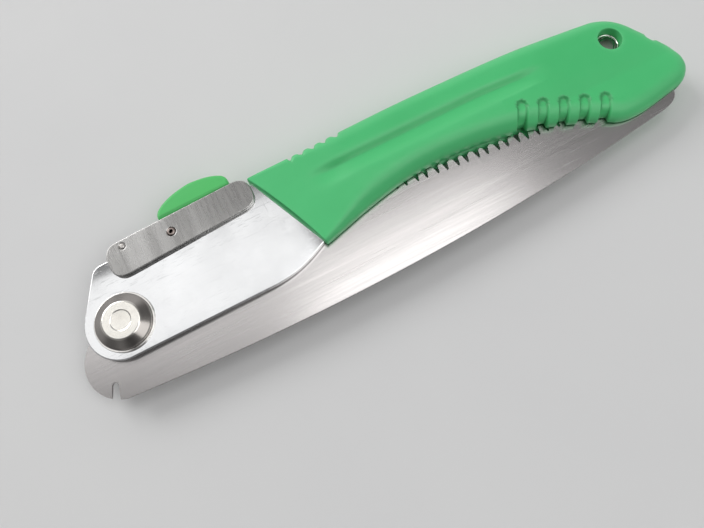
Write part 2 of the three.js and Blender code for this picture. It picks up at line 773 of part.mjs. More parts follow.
place("grip_upper", gripShell("upper"), GREEN_GRIP);
place("grip_lower", gripShell("lower"), GREEN_GRIP, true);
place("frame_plate_upper", framePlate(), PLATE_CHROME);
place("frame_plate_lower", framePlate(), PLATE_CHROME, true);
place("frame_spacer", frameSpacer(), PIN_STEEL);
for (const where of ["front", "middle", "rear"]) {
  place(`frame_rivet_${where}`, frameRivet(RIVETS[where]), PIN_STEEL);
  place(`grip_screw_${where}`, gripScrew(SCREWS[where]), PIN_STEEL);
}
place("hang_hole_eyelet", hangHoleEyelet(), BOLT_CHROME);

place("blade", blade(), BLADE_STEEL);
place("blade_stop_pin", stopPin(), PIN_STEEL);

place("pivot_bolt", pivotBolt(), BOLT_CHROME);
place("pivot_nut", pivotNut(), BOLT_CHROME);
const bushEnd = PLATE_Z[0] - FACE_GAP;
place("pivot_bush", washer(BUSH_RADIUS, -bushEnd, bushEnd, PIVOT_RADIUS + HOLE_FIT), BRASS);
for (const [where, mirrored] of [["upper", false], ["lower", true]]) {
  const outerWasher = washer(11.1, ...WASHER_Z, PIVOT_RADIUS + HOLE_FIT);
  const thinWasher = washer(9.5, BLADE_Z + FACE_GAP, bushEnd, BUSH_RADIUS + HOLE_FIT);
  place(`pivot_washer_${where}`, outerWasher, BOLT_CHROME, mirrored);
  place(`blade_washer_${where}`, thinWasher, BRASS, mirrored);
}

place("lever_channel", leverChannel(), LEVER_ZINC);
place("thumb_pad", thumbPad(), GREEN_PAD);
place("lock_pin", lockPin(), PIN_STEEL);
place("lever_pivot_pin", leverPivotPin(), PIN_STEEL);
place("lever_spring", leverSpring(), SPRING_STEEL);

saw.position.set(-FOOTPRINT_CENTRE[0], -FOOTPRINT_CENTRE[1], GRIP_HALF);

export default saw;
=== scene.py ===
"""Looks of the folding pruning saw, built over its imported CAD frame.

Lengths in this file are millimetres about the blade's pivot: +X runs along the folded saw to
the butt, +Y towards the back with the thumb lever, and z = 0 is the middle of the blade.
Materials and lights are in the frame's own metres.
"""

import json
from math import cos, degrees, dist, pi, radians, sin, tan

import bmesh
import bpy
import numpy as np
from mathutils import Matrix, Vector
from mathutils.geometry import delaunay_2d_cdt, tessellate_polygon


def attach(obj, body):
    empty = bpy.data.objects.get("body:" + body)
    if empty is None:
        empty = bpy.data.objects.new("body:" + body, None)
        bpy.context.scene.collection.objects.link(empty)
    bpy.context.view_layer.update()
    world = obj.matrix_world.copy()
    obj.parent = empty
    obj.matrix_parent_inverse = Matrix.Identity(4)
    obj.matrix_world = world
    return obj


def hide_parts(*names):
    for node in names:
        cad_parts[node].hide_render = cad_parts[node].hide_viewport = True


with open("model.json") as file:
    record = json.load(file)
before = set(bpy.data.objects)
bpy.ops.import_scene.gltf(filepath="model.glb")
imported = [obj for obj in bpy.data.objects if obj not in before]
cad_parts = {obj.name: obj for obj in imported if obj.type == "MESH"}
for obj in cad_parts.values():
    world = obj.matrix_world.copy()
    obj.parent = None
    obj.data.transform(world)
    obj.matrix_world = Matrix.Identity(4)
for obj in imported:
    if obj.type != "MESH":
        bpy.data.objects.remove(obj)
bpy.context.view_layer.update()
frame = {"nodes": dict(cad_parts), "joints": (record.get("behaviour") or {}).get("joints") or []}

MM = 0.001
PIVOT = Vector(next(j for j in frame["joints"] if j["name"] == "blade_fold")["pos_m"])
TO_ROW = Matrix.Translation(PIVOT) @ Matrix.Scale(MM, 4)
UP = (0.0, 0.0, 1.0)

# ---------------------------------------------------------------- sizes

BLADE_HALF = 0.65
PLATE_Z = (1.25, 3.25)
WASHER_Z = (3.35, 4.05)
FLANGE_Z = (3.45, 5.05)
HEAD_Z = 4.15
PRESSED_EDGE = 0.42

PIVOT_BORE = 4.15
BUSH_BORE = 5.25
LEVER_PIN_BORE = 1.65
LOCK_PIN_BORE = 1.25
RIVET_BORE = 2.65
SCREW_BORE = 1.75

TANG_CENTRE = (-6.3, -11.4)
TANG_RADIUS = 14.0
TOOTH_PITCH = 4.2
TOOTH_HEIGHT = 4.4
TOOTH_WIDTHS = (1.12, 0.88)  # in turn, as shares of the pitch
TEETH = (33.0, 221.0)
EDGE_BREAK = 0.1
FLANK_GRIND = 0.55

LEVER_PIVOT = (28.3, 23.3)
LOCK_PIN_SEAT = (9.47, 23.68)
LEVER_LIFT = radians(-9)
RIVETS = ((84, 20.5), (122, 22), (166, 20.5))
SCREWS = {"front": (102, 17.5), "middle": (145, 17.5), "rear": (196, 14)}

GRIP_HALF = 9.5
GRIP_HALF_FRONT = 5.9
GRIP_HALF_BUTT = 7.1
GRIP_TAPER = (150.0, 234.0)
GRIP_RAMP = 28.0
GRIP_ROUND = 6.0
FRONT_TOP = (63.6, 26.2)
FRONT_BEVEL = 0.4
HANG_HOLE = (212.5, 14.6)
HOLE_RADIUS = 4.75
HOLE_LIP = 0.28
BUTT_STEP = (229.6, 9.4)
RIBS = (79.6, 4.9, 4)  # start, pitch, count
GROOVE_COUNT = 5
GROOVE_LENGTH = 6.9
GROOVE_HALF_WIDTH = 2.0

# The grip's outline, from its front along the back, round the butt, and along the finger side.
GRIP_EDGE = [
    (30, 29.3), (46, 29.4), (62, 29.5), (79, 29.6), (102, 30.2), (126, 30.5), (151, 30.1),
    (176, 29.5), (192, 28.4), (206.9, 27.1), (213.2, 26.1), (219, 23.2), (223.1, 19.3),
    (226.2, 14.6), (228.8, 10.3), (231.1, 6.4), (233, 2.9), (234.4, -0.8), (235, -4),
    (234.4, -7.4), (232.6, -10.2), (229.4, -12.6), (223.5, -13.9), (217, -15.1), (209.5, -16.2),
    (203, -16.3), (198.5, -15.3), (195.2, -13.5), (189.5, -10.8), (182.5, -7.8), (175, -5),
    (167.5, -2.5), (160, -0.8), (150, 0.9), (140, 1.9), (129, 2.3), (118, 1.7), (108, 0.1),
    (96, -2.6), (86, -5.3), (78, -7.4), (66, -9.8), (54, -10.5), (40, -11),
]

# How the grip's mesh is divided. Its face has more rows along the long groove, and is finer
# over the patch, (x, x) and (y, y), that holds the finger grooves.
GRIP_COLUMNS = 1000
FACE_STEP = 1.25
FLOOR_STEP = 4.0
HOLE_STEPS = 64
GROOVE_ROWS = (15.5, 16.1, 16.7, 17.8, 19.0)
FINE_PATCH = ((161, 203), (-10, 12))


def smoothstep(value, low, high):
    t = min(1.0, max(0.0, (value - low) / (high - low)))
    return t * t * (3 - 2 * t)


# ---------------------------------------------------------------- outlines


def curve(corners, weigh, steps):
    """Points of a curve, without its start. weigh gives its corners' weights along it."""
    places = []
    for i in range(1, steps + 1):
        weights = weigh(i / steps)
        places.append(tuple(sum(w * p[k] for w, p in zip(weights, corners)) for k in (0, 1)))
    return places


def quadratic(start, control, end, steps=12):
    return curve((start, control, end), lambda t: ((1 - t) ** 2, 2 * t * (1 - t), t * t), steps)


def cubic(start, first, second, end, steps=16):
    def weigh(t):
        return (1 - t) ** 3, 3 * t * (1 - t) ** 2, 3 * t * t * (1 - t), t**3

    return curve((start, first, second, end), weigh, steps)


def arc(centre, radius, start, end, steps=24):
    """Points of an arc, its two ends included. Angles are in degrees."""
    angles = np.radians(np.linspace(start, end, steps + 1))
    return [(centre[0] + radius * cos(a), centre[1] + radius * sin(a)) for a in angles]


def circle(centre, radius, steps=48):
    return arc(centre, radius, 0, 360, steps)[:-1]


def spline(points, steps=8):
    """A smooth curve through the points."""
    padded = [points[0], *points, points[-1]]
    places = [points[0]]
    for a, b, c, d in zip(padded, padded[1:], padded[2:], padded[3:]):
        for i in range(1, steps + 1):
            t = i / steps
            place = []
            for k in (0, 1):
                left, right = (c[k] - a[k]) / 2, (d[k] - b[k]) / 2
                cube = 2 * b[k] - 2 * c[k] + left + right
                square = -3 * b[k] + 3 * c[k] - 2 * left - right
                place.append(cube * t**3 + square * t * t + left * t + b[k])
            places.append(tuple(place))
    return places


def rounded(corners, steps=10):
    """A closed outline whose corners, each (x, y, radius), are rounded."""
    places = []
    count = len(corners)
    for i, (x, y, radius) in enumerate(corners):
        corner = Vector((x, y))
        before = Vector(corners[i - 1][:2]) - corner
        after = Vector(corners[(i + 1) % count][:2]) - corner
        reach = radius / tan(before.angle(after) / 2)
        start = corner + before.normalized() * reach
        end = corner + after.normalized() * reach
        places += [tuple(start), *quadratic(start, corner, end, steps)]
    return places


def notched(outline, root, axis_deg, root_half, mouth_half, length):
    """The outline with a round-bottomed slot cut into it from root along an axis."""
    axis = Vector((cos(radians(axis_deg)), sin(radians(axis_deg))))
    side = Vector((-axis.y, axis.x))

    def local(point):
        offset = Vector(point) - Vector(root)
        return offset.dot(axis), offset.dot(side)

    def half(along):
        return root_half + (mouth_half - root_half) * min(1.0, max(0.0, along / length))

    def inside(point):
        along, across = local(point)
        return 0 < along < 2 * length and abs(across) < half(along)

    first = next(i for i, p in enumerate(outline) if inside(p) and not inside(outline[i - 1]))
    kept = [p for p in outline[first:] + outline[:first] if not inside(p)]
    entry = 1.0 if local(kept[-1])[1] > 0 else -1.0
    rim = local(kept[-1])[0]

    def wall(sign, *alongs):
        return [Vector(root) + axis * a + side * sign * half(a) for a in alongs]

    bottom = []
    for i in range(1, 10):
        c, s = cos(pi * i / 10), sin(pi * i / 10)
        bottom.append(Vector(root) + side * entry * root_half * c - axis * root_half * s)
    slot = [*wall(entry, rim - 0.2, 0.0), *bottom, *wall(-entry, 0.0, rim - 0.2)]
    return kept + [tuple(p) for p in slot]


# ---------------------------------------------------------------- meshes


def placed(name, data):
    """A new object in the scene."""
    obj = bpy.data.objects.new(name, data)
    bpy.context.scene.collection.objects.link(obj)
    return obj


def evaluated(obj):
    """The mesh of an object with its modifiers or its curve's bevel."""
    bpy.context.view_layer.update()
    return bpy.data.meshes.new_from_object(
        obj.evaluated_get(bpy.context.evaluated_depsgraph_get()))


def mesh_from(name, verts, faces):
    mesh = bpy.data.meshes.new(name)
    mesh.from_pydata(verts, [], faces)
    mesh.validate()
    return mesh


def clean(mesh, weld=1e-5):
    """Welds the mesh's doubled points and turns its faces outwards."""
    bm = bmesh.new()
    bm.from_mesh(mesh)
    bmesh.ops.remove_doubles(bm, verts=bm.verts, dist=weld)
    bmesh.ops.dissolve_degenerate(bm, edges=bm.edges, dist=weld)
    bmesh.ops.recalc_face_normals(bm, faces=bm.faces)
    bm.to_mesh(mesh)
    bm.free()
    return mesh


def curve_mesh(data, lines, closed):
    """The mesh of a bevelled curve through lists of (x, y, z)."""
    for places in lines:
        line = data.splines.new("POLY")
        line.points.add(len(places) - 1)
        line.use_cyclic_u = closed
        for point, place in zip(line.points, places):
            point.co = (*place, 1)
    holder = placed("curve", data)
    mesh = evaluated(holder)
    bpy.data.objects.remove(holder)
    bpy.data.curves.remove(data)
    return mesh


def slab(outline, holes, low, high, edge, steps=3):
    """A plate of an outline with holes in it, its edges rounded."""
    data = bpy.data.curves.new("slab", "CURVE")
    data.dimensions = "2D"
    data.fill_mode = "BOTH"
    data.extrude = (high - low) / 2 - edge
    data.bevel_depth = edge
    data.bevel_resolution = steps
    data.offset = -edge
    flat = [[(x, y, 0) for x, y in places] for places in (outline, *holes)]
    mesh = curve_mesh(data, flat, True)
    mesh.transform(Matrix.Translation((0, 0, (low + high) / 2)))
    return clean(mesh, 1e-4)


def band(row, after, closed=True):
    """Faces between two rows of points."""
    steps = [(i, (i + 1) % len(row)) for i in range(len(row) if closed else len(row) - 1)]
    return [(row[i], row[j], after[j], after[i]) for i, j in steps]


def lathe(profile, centre=(0, 0), segments=96):
    """A turned mesh about Z. The profile lists (radius, height); a ring's ends on itself."""
    verts, faces, rings = [], [], []
    for radius, height in profile:
        if radius < 1e-6:
            rings.append([len(verts)] * segments)
            verts.append((*centre, height))
            continue
        rings.append(list(range(len(verts), len(verts) + segments)))
        for i in range(segments):
            angle = 2 * pi * i / segments
            x, y = radius * cos(angle), radius * sin(angle)
            verts.append((centre[0] + x, centre[1] + y, height))
    for ring, after in zip(rings, rings[1:]):
        for corners in band(ring, after):
            face = list(dict.fromkeys(corners))
            if len(face) > 2:
                faces.append(face)
    return clean(mesh_from("lathe", verts, faces))


def softened(profile, radius):
    """The profile with each of its inner corners rounded."""
    places = [profile[0]]
    for before, corner, after in zip(profile, profile[1:], profile[2:]):
        here = Vector(corner)
        back, ahead = Vector(before) - here, Vector(after) - here
        reach = min(radius, back.length * 0.45, ahead.length * 0.45)
        start, end = here + back.normalized() * reach, here + ahead.normalized() * reach
        places += [tuple(start), *quadratic(start, corner, end, 4)]
    places.append(profile[-1])
    return places


def joined(*meshes):
    """One mesh of several, which are left as they are."""
    bm = bmesh.new()
    for mesh in meshes:
        bm.from_mesh(mesh)
    whole = bpy.data.meshes.new("joined")
    bm.to_mesh(whole)
    bm.free()
    return whole


def carved(mesh, cutter, operation="DIFFERENCE"):
    """The mesh after a boolean with another closed mesh."""
    body, tool = placed("carved", mesh), placed("cutter", cutter)
    boolean = body.modifiers.new("cut", "BOOLEAN")
    boolean.operation = operation
    boolean.solver = "EXACT"
    boolean.object = tool
    result = evaluated(body)
    for holder in (body, tool):
        bpy.data.objects.remove(holder)
    return result


def mirrored(mesh):
    """The same mesh on the other side of the blade's mid-plane."""
    copy = mesh.copy()
    copy.transform(Matrix.Scale(-1, 4, UP))
    copy.flip_normals()
    return copy


def mark_bends(mesh):
    """Stores how sharply the surface bends at each point: outwards, where handling rubs it,
    and inwards, where the plastic's colour is darkened as painted shade in the recesses."""
    bm = bmesh.new()
    bm.from_mesh(mesh)
    marks = {"wear": [], "painted_recess_shade": []}
    for vert in bm.verts:
        angles = [edge.calc_face_angle_signed(0.0) for edge in vert.link_edges]
        marks["wear"].append(min(1.0, max(0.0, max(angles, default=0.0)) / 0.3))
        # Inward bends give the mask for painted shade in recesses.
        marks["painted_recess_shade"].append(min(1.0, max(0.0, -min(angles, default=0.0) - 0.13) / 0.4))
    for name, values in marks.items():
        spread = []
        for vert in bm.verts:
            around = [values[edge.other_vert(vert).index] for edge in vert.link_edges]
            spread.append((values[vert.index] + sum(around) / max(1, len(around))) / 2)
        mesh.attributes.new(name, "FLOAT", "POINT").data.foreach_set("value", spread)
    bm.free()


def piece(name, mesh, material, body, slot, *nodes, sharp=35, weighted=True):
    """Places a mesh on a body, in the stead of CAD nodes."""
    mark_bends(mesh)
    mesh.transform(TO_ROW)
    mesh.name = name
    mesh.materials.clear()
    mesh.materials.append(material)
    mesh.polygons.foreach_set("use_smooth", [True] * len(mesh.polygons))
    mesh.set_sharp_from_angle(angle=radians(sharp))
    obj = placed(name, mesh)
    if weighted:
        normals = obj.modifiers.new("normals", "WEIGHTED_NORMAL")
        normals.keep_sharp = True
        normals.weight = 80
    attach(obj, body)
    if nodes:
        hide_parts(*nodes)


def pair(name, mesh, material, slot, node):
    """A piece of the handle, first its mirror image under the blade and then itself."""
    under = mirrored(mesh)
    piece(f"{name}_lower", under, material, "handle", slot, f"{node}_lower")
    piece(f"{name}_upper", mesh, material, "handle", slot, f"{node}_upper")


# ---------------------------------------------------------------- materials


def feed(tree, source, socket):
    """Links a node's output to the socket, or gives the socket a plain value."""
    if hasattr(source, "is_output"):
        tree.links.new(source, socket)
    else:
        socket.default_value = source


def add_node(tree, kind, inputs=None, **settings):
    made = tree.nodes.new("ShaderNode" + kind)
    for key, value in settings.items():
        setattr(made, key, value)
    for key, source in (inputs or {}).items():
        feed(tree, source, made.inputs[key])
    return made


def map_range(tree, value, low, high, to_low, to_high):
    return add_node(tree, "MapRange", {
        "Value": value, "From Min": low, "From Max": high, "To Min": to_low, "To Max": to_high,
    }).outputs["Result"]


class Finish:
    """A node material on the object's own coordinates, in metres."""

    def __init__(self, name, metallic, specular=0.5):
        self.material = bpy.data.materials.new(name)
        self.material.use_nodes = True
        self.tree = self.material.node_tree
        self.shader = self.tree.nodes["Principled BSDF"]
        self.shader.inputs["Metallic"].default_value = metallic
        self.shader.inputs["Specular IOR Level"].default_value = specular
        self.coords = self.node("TexCoord").outputs["Object"]
        self.relief = None

    def node(self, kind, inputs=None, **settings):
        return add_node(self.tree, kind, inputs, **settings)

    def mapped(self, location=(0, 0, 0), scale=(1, 1, 1), turn=0.0):
        """The coordinates, moved, stretched, and turned about Z by degrees."""
        return self.node("Mapping", {
            "Vector": self.coords, "Location": location, "Scale": scale,
            "Rotation": (0, 0, radians(turn)),
        }).outputs["Vector"]

    def noise(self, scale, stretch=(1, 1, 1), turn=0.0, detail=4.0, rough=0.55):
        """Grey noise; stretch is how many times finer it is along each axis."""
        return self.node("TexNoise", {
            "Vector": self.mapped(scale=stretch, turn=turn), "Scale": scale, "Detail": detail,
            "Roughness": rough,
        }).outputs["Fac"]

    def rings(self, scale):
        """Turning marks round the pivot."""
        return self.node("TexWave", {
            "Vector": self.mapped(-PIVOT), "Scale": scale, "Distortion": 1.5, "Detail": 2.0,
        }, wave_type="RINGS", rings_direction="Z").outputs["Fac"]

    def radius(self):
        """Distance from the pivot's axis."""
        flat = self.mapped((-PIVOT.x, -PIVOT.y, 0), (1, 1, 0))
        return self.node("VectorMath", {0: flat}, operation="LENGTH").outputs["Value"]

    def spread(self, value, low, high, to_low=0.0, to_high=1.0):
        return map_range(self.tree, value, low, high, to_low, to_high)

    def times(self, value, other):
        return self.node("Math", {0: value, 1: other}, operation="MULTIPLY").outputs[0]

    def plus(self, value, other):
        return self.node("Math", {0: value, 1: other}, operation="ADD").outputs[0]

    def blend(self, factor, first, second):
        """A mix of two colours, each an output or a plain (r, g, b)."""
        made = self.node("Mix", {"Factor": factor}, data_type="RGBA")
        sockets = [s for s in made.inputs if s.type == "RGBA"]
        for source, socket in zip((first, second), sockets):
            feed(self.tree, (*source, 1.0) if isinstance(source, tuple) else source, socket)
        return next(s for s in made.outputs if s.type == "RGBA")

    def mark(self, name):
        return self.node("Attribute", attribute_name=name).outputs["Fac"]

    def emboss(self, height, strength, distance):
        """Adds a layer of fine relief to those before it."""
        inputs = {"Strength": strength, "Distance": distance, "Height": height}
        if self.relief:
            inputs["Normal"] = self.relief
        self.relief = self.node("Bump", inputs).outputs["Normal"]

    def done(self, colour, roughness):
        ends = (("Base Color", colour), ("Roughness", roughness), ("Normal", self.relief))
        for key, source in ends:
            feed(self.tree, source, self.shader.inputs[key])
        return self.material


def moulded_plastic(name, colour, deep, light):
    """Satin moulded plastic: a fine spark-eroded grain, faint flow marks, rubbed edges and painted
    shade in its recesses.
    """
    f = Finish(name, 0.0, 0.45)
    flow = f.spread(f.noise(22, (1, 1.6, 1.6), detail=3), 0.35, 0.7)
    tone = f.blend(f.times(flow, 0.55), colour, deep)
    speck = f.spread(f.noise(900, detail=2), 0.62, 0.78, 0, 0.22)
    tone = f.blend(speck, tone, deep)
    tone = f.blend(f.times(f.mark("wear"), 0.22), tone, light)
    # Painted shade: inward bends, such as the finger grooves' rims, are darkened towards a deep
    # green.
    tone = f.blend(f.times(f.mark("painted_recess_shade"), 0.6), tone, tuple(0.45 * c for c in deep))
    f.emboss(f.noise(2600, detail=2), 0.10, 0.00008)
    f.emboss(f.noise(120, detail=3), 0.10, 0.0003)
    scuffs = f.spread(f.noise(60, (1, 9, 9), 24, detail=5), 0.52, 0.75, 0, 0.12)
    rough = f.plus(f.spread(f.noise(320), 0.3, 0.7, 0.34, 0.44), scuffs)
    return f.done(tone, rough)


def polished_plating(name, colour, dull, waviness=1.0):
    """Bright plating over rolled steel: faint waves, fine scratches and hazy patches."""
    f = Finish(name, 1.0)
    haze = f.spread(f.noise(38, detail=5), 0.42, 0.72)
    tone = f.blend(f.times(haze, 0.6), colour, dull)
    scratches = f.noise(170, (1, 26, 26), 17, detail=5)
    more = f.noise(150, (24, 1, 24), -12, detail=5)
    lines = f.plus(f.spread(scratches, 0.62, 0.72), f.spread(more, 0.64, 0.74))
    tone = f.blend(f.times(lines, 0.10), tone, (0.55, 0.55, 0.55))
    f.emboss(f.noise(26, detail=1), 0.35 * waviness, 0.0006)
    f.emboss(lines, 0.10, 0.00003)
    rough = f.plus(f.spread(f.noise(60, detail=5), 0.35, 0.75, 0.06, 0.17), f.times(lines, 0.05))
    return f.done(tone, rough)


def brushed_steel(name, colour, dull, stretch):
    """Satin steel, brushed along one direction, with a few longer scratches."""
    f = Finish(name, 1.0)
    strands = f.noise(14, stretch, detail=6, rough=0.7)
    tone = f.blend(f.spread(strands, 0.3, 0.75), colour, dull)
    cloud = f.spread(f.noise(24, (1.8, 0.7, 1), detail=4), 0.4, 0.72, 0, 0.5)
    tone = f.blend(cloud, tone, dull)
    tone = f.blend(f.times(f.mark("wear"), 0.5), tone, (0.8, 0.78, 0.77))
    scratches = f.spread(f.noise(90, (1, 30, 30), 7, detail=4), 0.66, 0.76)
    f.emboss(strands, 0.16, 0.00004)
    f.emboss(scratches, 0.02, 0.00002)
    rough = f.plus(f.spread(strands, 0.3, 0.75, 0.2, 0.3), f.times(scratches, 0.04))
    return f.done(tone, rough)


def galvanised():
    """Zinc-plated pressed steel: cloudy spangle, brushing across the lever and dark nicks."""
    f = Finish("lever_zinc", 1.0)
    spangle = f.node("TexVoronoi", {"Vector": f.coords, "Scale": 210}, feature="SMOOTH_F1")
    cells = f.spread(spangle.outputs["Distance"], 0.1, 0.7)
    strands = f.noise(16, (60, 5, 30), 12, detail=6, rough=0.7)
    tone = f.blend(f.spread(strands, 0.34, 0.7), (0.52, 0.515, 0.505), (0.2, 0.195, 0.19))
    tone = f.blend(f.times(cells, 0.35), tone, (0.3, 0.295, 0.29))
    bands = f.spread(f.noise(38, (2.2, 0.2, 1), 14, detail=2), 0.44, 0.6)
    tone = f.blend(f.times(bands, 0.78), tone, (0.12, 0.117, 0.113))
    nicks = f.spread(f.noise(300, (3, 1, 1), 40, detail=3), 0.68, 0.76)
    tone = f.blend(f.times(nicks, 0.5), tone, (0.14, 0.13, 0.125))
    tone = f.blend(f.times(f.mark("wear"), 0.55), tone, (0.8, 0.79, 0.77))
    f.emboss(strands, 0.5, 0.00005)
    f.emboss(cells, 0.15, 0.00008)
    rough = f.plus(f.spread(strands, 0.3, 0.75, 0.2, 0.38), f.times(nicks, 0.2))
    return f.done(tone, rough)


def turned_metal(name, colour, dull, rough=(0.15, 0.26), bevel=None):
    """Turned and plated metal with faint marks round the pivot. A bevel is a darker colour
    that it takes outside the bolt's bright flat top, a painted reflection of dim surroundings."""
    f = Finish(name, 1.0)
    marks = f.rings(900)
    haze = f.spread(f.noise(140, detail=5), 0.4, 0.75)
    tone = f.blend(f.times(haze, 0.6), colour, dull)
    if bevel:
        # Painted reflection: outside the flat top the bevel is darkened as if it mirrored dim
        # surroundings.
        tone = f.blend(f.spread(f.radius(), 0.0066, 0.0074), tone, bevel)
    tone = f.blend(f.times(f.mark("wear"), 0.3), tone, (0.95, 0.94, 0.92))
    f.emboss(marks, 0.08, 0.00003)
    f.emboss(f.noise(260, detail=2), 0.12, 0.0001)
    return f.done(tone, f.spread(f.noise(200, detail=5), 0.3, 0.75, *rough))


GRIP_GREEN = moulded_plastic("grip_green", (0.078, 0.58, 0.2), (0.058, 0.5, 0.162),
                             (0.2, 0.68, 0.32))
PAD_GREEN = moulded_plastic("pad_green", (0.075, 0.56, 0.135), (0.06, 0.49, 0.11),
                            (0.2, 0.68, 0.26))
PLATE_CHROME = polished_plating("plate_chrome", (0.9, 0.905, 0.91), (0.76, 0.765, 0.77))
RIM_CHROME = polished_plating("rim_chrome", (0.88, 0.86, 0.83), (0.7, 0.68, 0.65), 0.5)
# The bolt's bevel colour is a painted reflection of dim surroundings.
BOLT_CHROME = turned_metal("bolt_chrome", (0.97, 0.945, 0.88), (0.8, 0.76, 0.69),
                           bevel=(0.3, 0.28, 0.262))
NUT_ZINC = turned_metal("nut_zinc", (0.7, 0.69, 0.66), (0.48, 0.46, 0.43))
BRASS = turned_metal("washer_brass", (0.75, 0.57, 0.3), (0.55, 0.4, 0.2), (0.2, 0.35))
BLADE_STEEL = brushed_steel("blade_steel", (0.46, 0.432, 0.425), (0.37, 0.348, 0.343), (1, 60, 60))
PIN_RUSTED = brushed_steel("pin_rusted", (0.34, 0.23, 0.18), (0.13, 0.075, 0.055), (9, 9, 4))
PIN_STEEL = brushed_steel("pin_steel", (0.62, 0.6, 0.58), (0.4, 0.37, 0.34), (30, 30, 4))
SPRING_STEEL = brushed_steel("spring_steel", (0.4, 0.41, 0.42), (0.2, 0.2, 0.21), (20, 20, 20))
LEVER_ZINC = galvanised()

# ---------------------------------------------------------------- blade


def tooth_tip_y(x):
    """The straight line that the tooth tips lie on."""
    return 15.77 - 0.098 * x


def tooth(x, pitch):
    """One tooth's points, from its root at x towards the pivot, with the flank each is on."""
    root = tooth_tip_y(x) - TOOTH_HEIGHT
    shoulder = root + 0.74 * TOOTH_HEIGHT
    return [
        (x + 0.03, root, "lower"),
        (x - 0.03, root, "upper"),
        (x - 0.18 * pitch, shoulder, "upper"),
        (x - 0.5 * pitch, tooth_tip_y(x), "both"),
        (x - 0.82 * pitch, shoulder, "lower"),
    ]


def blade_points():
    """The outline, anticlockwise, as (x, y, ground): ground says which face a flank is ground
    on, "upper", "lower", "both" at a tooth's tip, or "" elsewhere."""
    heel = arc(TANG_CENTRE, TANG_RADIUS, 118, 256, 110)
    plain = [heel[-1], *quadratic(heel[-1], (104.2, -34.5), (217.5, -19), 90)]
    plain += quadratic(plain[-1], (225.6, -17.9), (226.1, -12.6), 10)
    plain.append((225.4, tooth_tip_y(TEETH[1]) - TOOTH_HEIGHT))
    points = [(x, y, "") for x, y in plain]
    x = TEETH[1]
    while x > TEETH[0]:
        pitch = TOOTH_PITCH * TOOTH_WIDTHS[round((TEETH[1] - x) / TOOTH_PITCH) % 2]
        points += tooth(x, pitch)
        x -= pitch
    relief = [(x, tooth_tip_y(x) - TOOTH_HEIGHT)]
    relief += quadratic(relief[0], (27, 4.5), (22, 4.4)) + [(17, 4.4)]
    relief += quadratic((17, 4.4), (13, 4.8), (10.2, 7.2), 6)
    relief += arc((0, 0), 12.5, degrees(0.66), 174, 40)
    slotted = notched(heel, (-12.1, -18.95), -107.8, 1.25, 1.6, 4.7)
    first = min(range(len(slotted)), key=lambda i: dist(slotted[i], heel[0]))
    return points + [(x, y, "") for x, y in relief + slotted[first:] + slotted[:first]]


def blade_mesh():
    """Four levels of the outline: each face, set in by the broken or ground edge, and where
    that edge starts below it."""
    points = blade_points()
    count = len(points)
    sides = {"upper": ([], []), "lower": ([], [])}
    for i, (x, y, ground) in enumerate(points):
        ahead, behind = points[(i + 1) % count], points[i - 1]
        along = Vector((ahead[0] - behind[0], ahead[1] - behind[1])).normalized()
        inward = Vector((-along.y, along.x))
        for side, sign in (("upper", 1), ("lower", -1)):
            if ground == side:
                shift, depth = Vector((-sign * FLANK_GRIND, -0.16)), -0.2
            elif ground == "both":
                shift, depth = Vector((-sign * FLANK_GRIND * 0.35, -0.5)), 0.05
            else:
                shift, depth = inward * EDGE_BREAK, BLADE_HALF - EDGE_BREAK
            face, edge = sides[side]
            face.append((x + shift.x, y + shift.y, sign * BLADE_HALF))
            edge.append((x, y, sign * depth))
    (top, high), (bottom, low) = sides.values()
    verts = top + high + low + bottom
    rows = [range(k * count, (k + 1) * count) for k in range(4)]
    faces, bores = [], []
    for row, below in zip(rows, rows[1:]):
        faces += band(below, row)
    for outer, height in ((rows[0], BLADE_HALF), (rows[3], -BLADE_HALF)):
        start = len(verts)
        verts += [(x, y, height) for x, y in circle((0, 0), BUSH_BORE, 64)]
        bores.append(range(start, len(verts)))
        numbers = [*outer, *bores[-1]]
        places = [[Vector(verts[n]) for n in loop] for loop in (outer, bores[-1])]
        faces += [tuple(numbers[c] for c in corners) for corners in tessellate_polygon(places)]
    faces += band(*bores)
    return clean(mesh_from("blade", verts, faces), 1e-6)


# ---------------------------------------------------------------- frame plates


def plate_mesh():
    """Nose, sloping bow, the tail inside the grip, then the back edge with the lock pin's
    slot in it."""
    outline = [(-1.1, -13.2), (52, -13.1)]
    outline += cubic((52, -13.1), (66, -12.9), (72, -8.6), (80, -5))
    outline += spline([(80, -5), (90, -0.8), (102, 2.7), (124, 5.3), (146, 5), (164, 3.4)])[1:]
    outline += [(174, 3)] + quadratic((174, 3), (178, 3), (178, 7)) + [(178, 22)]
    outline += quadratic((178, 22), (178, 25.6), (174, 25.8))
    outline += quadratic((174, 25.8), (118, 28.4), (60, 27.2)) + [(28, 27.2)]
    outline += quadratic((28, 27.2), (25, 27.2), (22, 26.4)) + [(12.5, 24.8), (11.2, 24.77)]
    outline += arc(LOCK_PIN_SEAT, 1.6, -6, -186, 16) + [(7.97, 24.69), (-0.4, 24.5)]
    outline += quadratic((-0.4, 24.5), (-3.6, 24.4), (-5, 21.9))
    outline += arc((-1.1, 0.6), 13.8, 151.4, 268, 60)
    holes = [circle((0, 0), PIVOT_BORE), circle(LEVER_PIVOT, LEVER_PIN_BORE, 32)]
    holes += [circle(at, RIVET_BORE, 24) for at in RIVETS]
    holes += [circle(SCREWS[where], SCREW_BORE, 24) for where in ("front", "middle")]
    return slab(outline, holes, *PLATE_Z, PRESSED_EDGE, 4)


# ---------------------------------------------------------------- pivot


